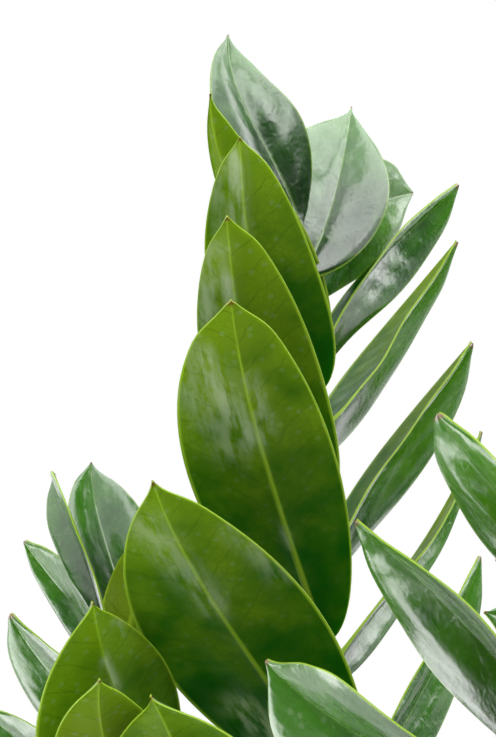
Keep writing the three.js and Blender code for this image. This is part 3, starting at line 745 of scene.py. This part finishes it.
def shapeStalk(frond, joints, name):
    piece = copyOf(blankStalk, name)
    flat = pointsOf(piece.data)
    ring = np.round(flat[:, 2])
    at = np.clip((ring - 1) / (stalk["rings"] - 1), 0, 1)
    along = curveDirection(frond["path"], at)
    upright = np.array([0.0, 0.0, 1.0])
    along = unit(upright + (along - upright) * smooth(0, stalk["uprightReach"], at)[:, None])
    right = across(np.broadcast_to(azimuth(frond["side"]), along.shape), along)
    front = np.cross(along, right)
    radius = stalk["midRadius"] + (stalk["tipRadius"] - stalk["midRadius"]) * at
    radius = radius + (stalk["footRadius"] - stalk["midRadius"]) * np.exp(-at / stalk["footReach"])
    for joint in joints:
        radius = radius * (1 + stalk["swelling"] * np.exp(-((at - joint) / stalk["swellingReach"]) ** 2))
    radius = np.where(at == 0, stalk["footRadius"], radius)
    centre = curvePoint(frond["path"], at)
    centre[:, 2] -= np.where(ring < 0.5, stalk["footDepth"], 0)
    points = centre + right * (radius * flat[:, 0])[:, None] + front * (radius * flat[:, 1])[:, None]
    placePoints(piece.data, points * mm)
    return piece


def makeFrond(key, frond):
    name = "frond" + key[0].upper() + key[1:]
    draw = draws(frond["seed"] + blade["drawsFrom"])
    leaves = list(placedLeaflets(frond, draw))
    joints = [placed["at"] for placed in frond.get("leaflets", [])]
    if "rule" in frond:
        leaves += list(ruledLeaflets(frond, draw))
        rule = frond["rule"]
        joints += [rule["from"] + (1 - rule["from"]) * i / (rule["count"] - 1) for i in range(rule["count"])]
    blank = fineBlank if frond.get("fine") else plainBlank
    parts = [shapeStalk(frond, joints, name)]
    for leaf in leaves:
        parts.append(shapeLeaflet(leaf, blank, name + "Leaflet", draw))
    piece = joinAll(parts, name)
    bpy.ops.object.shade_smooth_by_angle(angle=math.radians(50))
    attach(piece, "root")
    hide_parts("frond_" + key)


for key, frond in fronds.items():
    makeFrond(key, frond)
for blank in (fineBlank, plainBlank, blankStalk):
    bpy.data.objects.remove(blank)
say("fronds")


# Pot: thrown stoneware under an off-white glaze, satin, with a bare foot
pot = {
    "height": 145, "footRadius": 58, "topRadius": 79, "wall": 5, "floor": 8,
    "rimHeight": 16, "rimOverhang": 3, "rimSlope": 3, "footChamfer": 1.5, "edgeRound": 1.4, "sides": 128,
    "drainHoles": 5, "drainRadius": 5, "drainRing": 38, "drainSides": 40, "drillLength": 30, "drillMiddle": 4,
}
# scales are cells to the metre, heights are in metres
glazeLook = {
    "thin": "#beb8ab", "thick": "#cfcabd", "speck": "#78664f", "bareClay": "#c9b190",
    "cloudScale": 24.0, "speckScale": 260.0, "speckShare": 0.55, "throwingScale": 52.0,
    "bareHeights": (0.0015, 0.0022), "roughness": 0.26, "bareRoughness": 0.8,
}


def potRadius(height):
    return pot["footRadius"] + (pot["topRadius"] - pot["footRadius"]) * height / pot["height"]


def glazeMaterial():
    # glazed ceramic: IOR 1.5, satin; soft clouds where the glaze is thicker, fine iron specks,
    # faint rings from throwing and a bare clay foot
    material, tree = newMaterial("offWhiteGlaze")
    look = glazeLook
    place = addNode(tree, "TexCoord").outputs["Object"]
    cloud = addNode(tree, "TexNoise", {
        "Vector": place, "Scale": look["cloudScale"], "Detail": 3.0}).outputs["Fac"]
    specks = addNode(tree, "TexVoronoi", {
        "Vector": place, "Scale": look["speckScale"]}).outputs["Distance"]
    speckShare = addNode(tree, "MapRange", {
        "Value": specks, "From Min": 0.1, "From Max": 0.16, "To Min": look["speckShare"], "To Max": 0.0},
        interpolation_type="SMOOTHSTEP").outputs[0]
    glaze = addNode(tree, "Mix", {
        "Factor": cloud, 6: colourOf(look["thin"]), 7: colourOf(look["thick"])}, data_type="RGBA").outputs[2]
    glaze = addNode(tree, "Mix", {
        "Factor": speckShare, 6: glaze, 7: colourOf(look["speck"])}, data_type="RGBA").outputs[2]
    height = addNode(tree, "SeparateXYZ", {0: place}).outputs[2]
    bare = addNode(tree, "MapRange", {
        "Value": height, "From Min": look["bareHeights"][0], "From Max": look["bareHeights"][1],
        "To Min": 1.0, "To Max": 0.0}).outputs[0]
    colour = addNode(tree, "Mix", {
        "Factor": bare, 6: glaze, 7: colourOf(look["bareClay"])}, data_type="RGBA").outputs[2]
    roughness = addNode(tree, "MapRange", {
        "Value": bare, "To Min": look["roughness"], "To Max": look["bareRoughness"]}).outputs[0]
    rings = addNode(tree, "TexWave", {
        "Vector": place, "Scale": look["throwingScale"], "Distortion": 1.2, "Detail": 1.0},
        bands_direction="Z").outputs["Fac"]
    bump = addNode(tree, "Bump", {"Strength": 0.16, "Distance": 0.0004, "Height": rings}).outputs[0]
    surface = addNode(tree, "BsdfPrincipled", {
        "Base Color": colour, "Roughness": roughness, "IOR": 1.5, "Normal": bump}).outputs[0]
    addNode(tree, "OutputMaterial", {0: surface})
    return material


def makePot():
    underRim = pot["height"] - pot["rimHeight"]
    inside = potRadius(pot["floor"]) - pot["wall"]
    # radius and height of each ring, from the foot up over the rim and down inside
    rings = [
        (pot["footRadius"], pot["footChamfer"]),
        (potRadius(underRim), underRim),
        (potRadius(underRim) + pot["rimOverhang"], underRim + pot["rimSlope"]),
        (pot["topRadius"] + pot["rimOverhang"], pot["height"]),
        (pot["topRadius"] - pot["wall"], pot["height"]),
        (inside, pot["floor"]),
    ]
    deselectAll()
    startRadius = pot["footRadius"] - pot["footChamfer"]
    bpy.ops.mesh.primitive_circle_add(vertices=pot["sides"], radius=startRadius * mm, fill_type="NGON")
    piece = bpy.context.object
    bpy.ops.object.mode_set(mode="EDIT")
    bpy.ops.mesh.select_all(action="SELECT")
    radius, height = startRadius, 0
    for nextRadius, nextHeight in rings:
        bpy.ops.mesh.extrude_region_move(TRANSFORM_OT_translate={"value": (0, 0, (nextHeight - height) * mm)})
        ratio = nextRadius / radius
        bpy.ops.transform.resize(value=(ratio, ratio, 1))
        radius, height = nextRadius, nextHeight
    bpy.ops.mesh.select_all(action="SELECT")
    bpy.ops.mesh.normals_make_consistent(inside=False)
    bpy.ops.object.mode_set(mode="OBJECT")
    applyModifier(piece, "BEVEL", width=pot["edgeRound"] * mm, segments=4, limit_method="ANGLE",
                  angle_limit=math.radians(20))
    for i in range(pot["drainHoles"]):
        place = azimuth(360 * (i + 0.5) / pot["drainHoles"]) * pot["drainRing"] * mm
        deselectAll()
        bpy.ops.mesh.primitive_cylinder_add(
            vertices=pot["drainSides"], radius=pot["drainRadius"] * mm, depth=pot["drillLength"] * mm,
            location=(place[0], place[1], pot["drillMiddle"] * mm))
        drill = bpy.context.object
        applyModifier(piece, "BOOLEAN", operation="DIFFERENCE", object=drill, solver="EXACT")
        bpy.data.objects.remove(drill)
    piece.name = "glazedPot"
    piece.data.materials.clear()
    piece.data.materials.append(glazeMaterial())
    makeActive(piece)
    bpy.ops.object.shade_smooth_by_angle(angle=math.radians(40))
    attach(piece, "root")
    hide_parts("pot")


makePot()
say("pot")


# Soil: a dark bed with bark chips and perlite on it
soil = {
    "top": 118, "relief": 1.6, "waves": (9, 11, 5), "grainRelief": 0.5, "gap": 0.3,
    "sides": 96, "ringStep": 1.8, "innerRing": 2.2,
    "dark": "#1c130c", "light": "#5a4330", "grain": 420.0, "roughness": 0.9,
}
# each kind of crumb: how many, its sizes, how flat it is and its colours; grain is cells a metre
crumbs = {
    "barkChips": {
        "count": 520, "sizes": (1.2, 4.2), "flatness": (0.3, 0.7), "seed": 7,
        "material": "pineBark", "dark": "#24160d", "light": "#7a5638", "grain": 600.0,
    },
    "perliteGrains": {
        "count": 90, "sizes": (0.8, 1.7), "flatness": (0.7, 1.0), "seed": 8,
        "material": "perlite", "dark": "#b9b3a6", "light": "#e9e6df", "grain": 900.0,
    },
}
# every crumb: its uneven corners, its breadth, how deep it sinks in and the bare edge by the pot
crumbShape = {"jitter": (0.7, 1.2), "breadth": 0.6, "sink": 0.3, "edge": 4}


def soilMaterial(name, look):
    # loose organic grains: fully rough, each grain a little lighter or darker
    material, tree = newMaterial(name)
    place = addNode(tree, "TexCoord").outputs["Object"]
    cells = addNode(tree, "TexVoronoi", {"Vector": place, "Scale": look["grain"]})
    noise = addNode(tree, "TexNoise", {
        "Vector": place, "Scale": look["grain"] * 1.7, "Detail": 5.0}).outputs["Fac"]
    share = addNode(tree, "SeparateXYZ", {0: cells.outputs["Color"]}).outputs[0]
    share = addNode(tree, "Math", {0: share, 1: noise}, operation="MULTIPLY").outputs[0]
    colour = addNode(tree, "Mix", {
        "Factor": share, 6: colourOf(look["dark"]), 7: colourOf(look["light"])}, data_type="RGBA").outputs[2]
    bump = addNode(tree, "Bump", {"Strength": 0.8, "Distance": 0.0012, "Height": noise}).outputs[0]
    surface = addNode(tree, "BsdfPrincipled", {
        "Base Color": colour, "Roughness": soil["roughness"], "Normal": bump}).outputs[0]
    addNode(tree, "OutputMaterial", {0: surface})
    return material


def soilHeight(x, y):
    acrossWave, alongWave, slantingWave = soil["waves"]
    wave = np.sin(x / acrossWave + 1) * np.cos(y / alongWave) + 0.5 * np.sin((x + y) / slantingWave)
    return soil["top"] + soil["relief"] * wave / 1.5


def makeSoil():
    topRadius = potRadius(soil["top"]) - pot["wall"] - soil["gap"]
    lowRadius = potRadius(pot["floor"]) - pot["wall"] - soil["gap"]
    low = pot["floor"] + soil["gap"]
    deselectAll()
    bpy.ops.mesh.primitive_circle_add(
        vertices=soil["sides"], radius=lowRadius * mm, fill_type="NGON", location=(0, 0, low * mm))
    bed = bpy.context.object
    bpy.ops.object.transform_apply(location=True)
    bpy.ops.object.mode_set(mode="EDIT")
    bpy.ops.mesh.select_all(action="SELECT")
    bpy.ops.mesh.extrude_region_move(TRANSFORM_OT_translate={"value": (0, 0, (soil["top"] - low) * mm)})
    ratio = topRadius / lowRadius
    bpy.ops.transform.resize(value=(ratio, ratio, 1))
    radius = topRadius
    while radius > soil["innerRing"]:
        bpy.ops.mesh.inset(thickness=soil["ringStep"] * mm)
        radius -= soil["ringStep"]
    bpy.ops.mesh.poke()
    bpy.ops.mesh.select_all(action="SELECT")
    bpy.ops.mesh.normals_make_consistent(inside=False)
    bpy.ops.object.mode_set(mode="OBJECT")
    points = pointsOf(bed.data) / mm
    x, y = points[:, 0], points[:, 1]
    onTop = points[:, 2] > soil["top"] - 1
    grain = np.sin(x * 2.3 + np.sin(y * 1.7) * 2) * np.cos(y * 2.9 + x)
    points[:, 2] = np.where(onTop, soilHeight(x, y) + soil["grainRelief"] * grain, points[:, 2])
    placePoints(bed.data, points * mm)
    bed.name = "soilBed"
    bed.data.materials.append(soilMaterial("pottingSoil", soil))
    makeActive(bed)
    bpy.ops.object.shade_smooth()
    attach(bed, "root")
    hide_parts("soil")


def clearOfStalks(x, y, size):
    for frond in fronds.values():
        stalkX, stalkY = frond["path"][0][:2]
        if math.hypot(x - stalkX, y - stalkY) < stalk["footRadius"] + size:
            return False
    return True


def makeCrumbs(name, kind):
    # one rough pebble, copied and squashed at random places on the bed
    draw = draws(kind["seed"])
    deselectAll()
    bpy.ops.mesh.primitive_ico_sphere_add(subdivisions=1, radius=1)
    pebble = bpy.context.object
    pebble.data.materials.append(soilMaterial(kind["material"], kind))
    shape = pointsOf(pebble.data)
    reach = potRadius(soil["top"]) - pot["wall"] - crumbShape["edge"]
    parts = []
    while len(parts) < kind["count"]:
        angle, distance = draw(0, 2 * math.pi), reach * math.sqrt(draw(0, 1))
        x, y = distance * math.cos(angle), distance * math.sin(angle)
        turn, size, squash = draw(0, math.pi), draw(*kind["sizes"]), draw(*kind["flatness"])
        jitter = np.array([[draw(*crumbShape["jitter"])] for i in range(len(shape))])
        points = shape * jitter * np.array([size, size * crumbShape["breadth"], size * squash])
        c, s = math.cos(turn), math.sin(turn)
        points = points @ np.array([[c, s, 0], [-s, c, 0], [0, 0, 1]])
        height = float(soilHeight(x, y)) + size * squash * crumbShape["sink"]
        points = points + np.array([x, y, height])
        if clearOfStalks(x, y, size):
            crumb = copyOf(pebble, "crumb")
            placePoints(crumb.data, points * mm)
            parts.append(crumb)
    bpy.data.objects.remove(pebble)
    piece = joinAll(parts, name)
    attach(piece, "root")


makeSoil()
for name, kind in crumbs.items():
    makeCrumbs(name, kind)
say("soil")


# Studio: a plain pale floor, a surround that is bright above and behind the plant, and softboxes
studio = {
    "floor": 5.6, "floorColour": "#f4f3f0", "aim": (-0.05, 0.0, 0.45),
    "dim": 0.06, "dome": 1.6, "backdrop": 1.25,
    "lights": [
        # name, direction from the plant, distance, width and height, brightness
        ("softboxTop", (0.2, -0.1, 0.97), 1.5, (1.6, 1.2), 3.0),
        ("softboxFrontTop", (0.03, -0.8, 0.6), 1.9, (1.0, 1.0), 4.5),
        ("softboxRightTop", (0.8, 0.0, 0.6), 1.6, (0.8, 0.6), 3.6),
        ("softboxRight", (0.95, 0.22, 0.19), 1.6, (0.7, 0.55), 5.0),
        ("softboxLeft", (-0.9, 0.02, -0.42), 0.8, (0.5, 0.42), 5.5),
        ("softboxBack", (0.15, 0.85, 0.5), 2.4, (1.8, 1.8), 2.4),
    ],
}


def makeStudio():
    deselectAll()
    bpy.ops.mesh.primitive_plane_add(size=studio["floor"])
    floor = bpy.context.object
    floor.name = "paleFloor"
    material, tree = newMaterial("paleFloorPaint")
    surface = addNode(tree, "BsdfPrincipled", {
        "Base Color": colourOf(studio["floorColour"]), "Roughness": 0.7}).outputs[0]
    addNode(tree, "OutputMaterial", {0: surface})
    floor.data.materials.append(material)
    floor.visible_glossy = False
    floor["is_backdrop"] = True

    world = bpy.data.worlds.new("whiteSurround")
    world.use_nodes = True
    bpy.context.scene.world = world
    tree = world.node_tree
    tree.nodes.clear()
    direction = addNode(tree, "TexCoord").outputs["Generated"]
    parts = addNode(tree, "SeparateXYZ", {0: direction})
    glow = studio["dim"]
    # the dome grows bright overhead (axis 2), the backdrop behind the plant (axis 1)
    for axis, none, full, brightness in (
            (2, 0.22, 0.5, studio["dome"]), (1, 0.05, 0.5, studio["backdrop"])):
        reached = addNode(tree, "MapRange", {
            "Value": parts.outputs[axis], "From Min": none, "From Max": full, "To Max": brightness},
            interpolation_type="SMOOTHSTEP").outputs[0]
        glow = addNode(tree, "Math", {0: reached, 1: glow}, operation="MAXIMUM").outputs[0]
    # the camera itself sees plain white, every other ray meets the glow
    seen = addNode(tree, "LightPath").outputs["Is Camera Ray"]
    lit = addNode(tree, "Background", {0: colourOf("#ffffff"), 1: glow}).outputs[0]
    white = addNode(tree, "Background", {0: colourOf("#ffffff"), 1: 1.0}).outputs[0]
    mixed = addNode(tree, "MixShader", {0: seen, 1: lit, 2: white}).outputs[0]
    addNode(tree, "OutputWorld", {0: mixed})

    aim = Vector(studio["aim"])
    for name, direction, distance, (width, height), brightness in studio["lights"]:
        lamp = bpy.data.lights.new(name, "AREA")
        lamp.shape = "RECTANGLE"
        lamp.size, lamp.size_y = width, height
        lamp.energy = brightness * math.pi * width * height
        light = bpy.data.objects.new(name, lamp)
        light.location = aim + Vector(direction).normalized() * distance
        light.rotation_euler = Vector(direction).to_track_quat("Z", "Y").to_euler()
        light.visible_camera = False
        bpy.context.scene.collection.objects.link(light)


makeStudio()
say("studio")

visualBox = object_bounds()
boxes = {"cad": cadBox, "visual": visualBox}
{key: [list(corner) for corner in box] for key, box in boxes.items()}
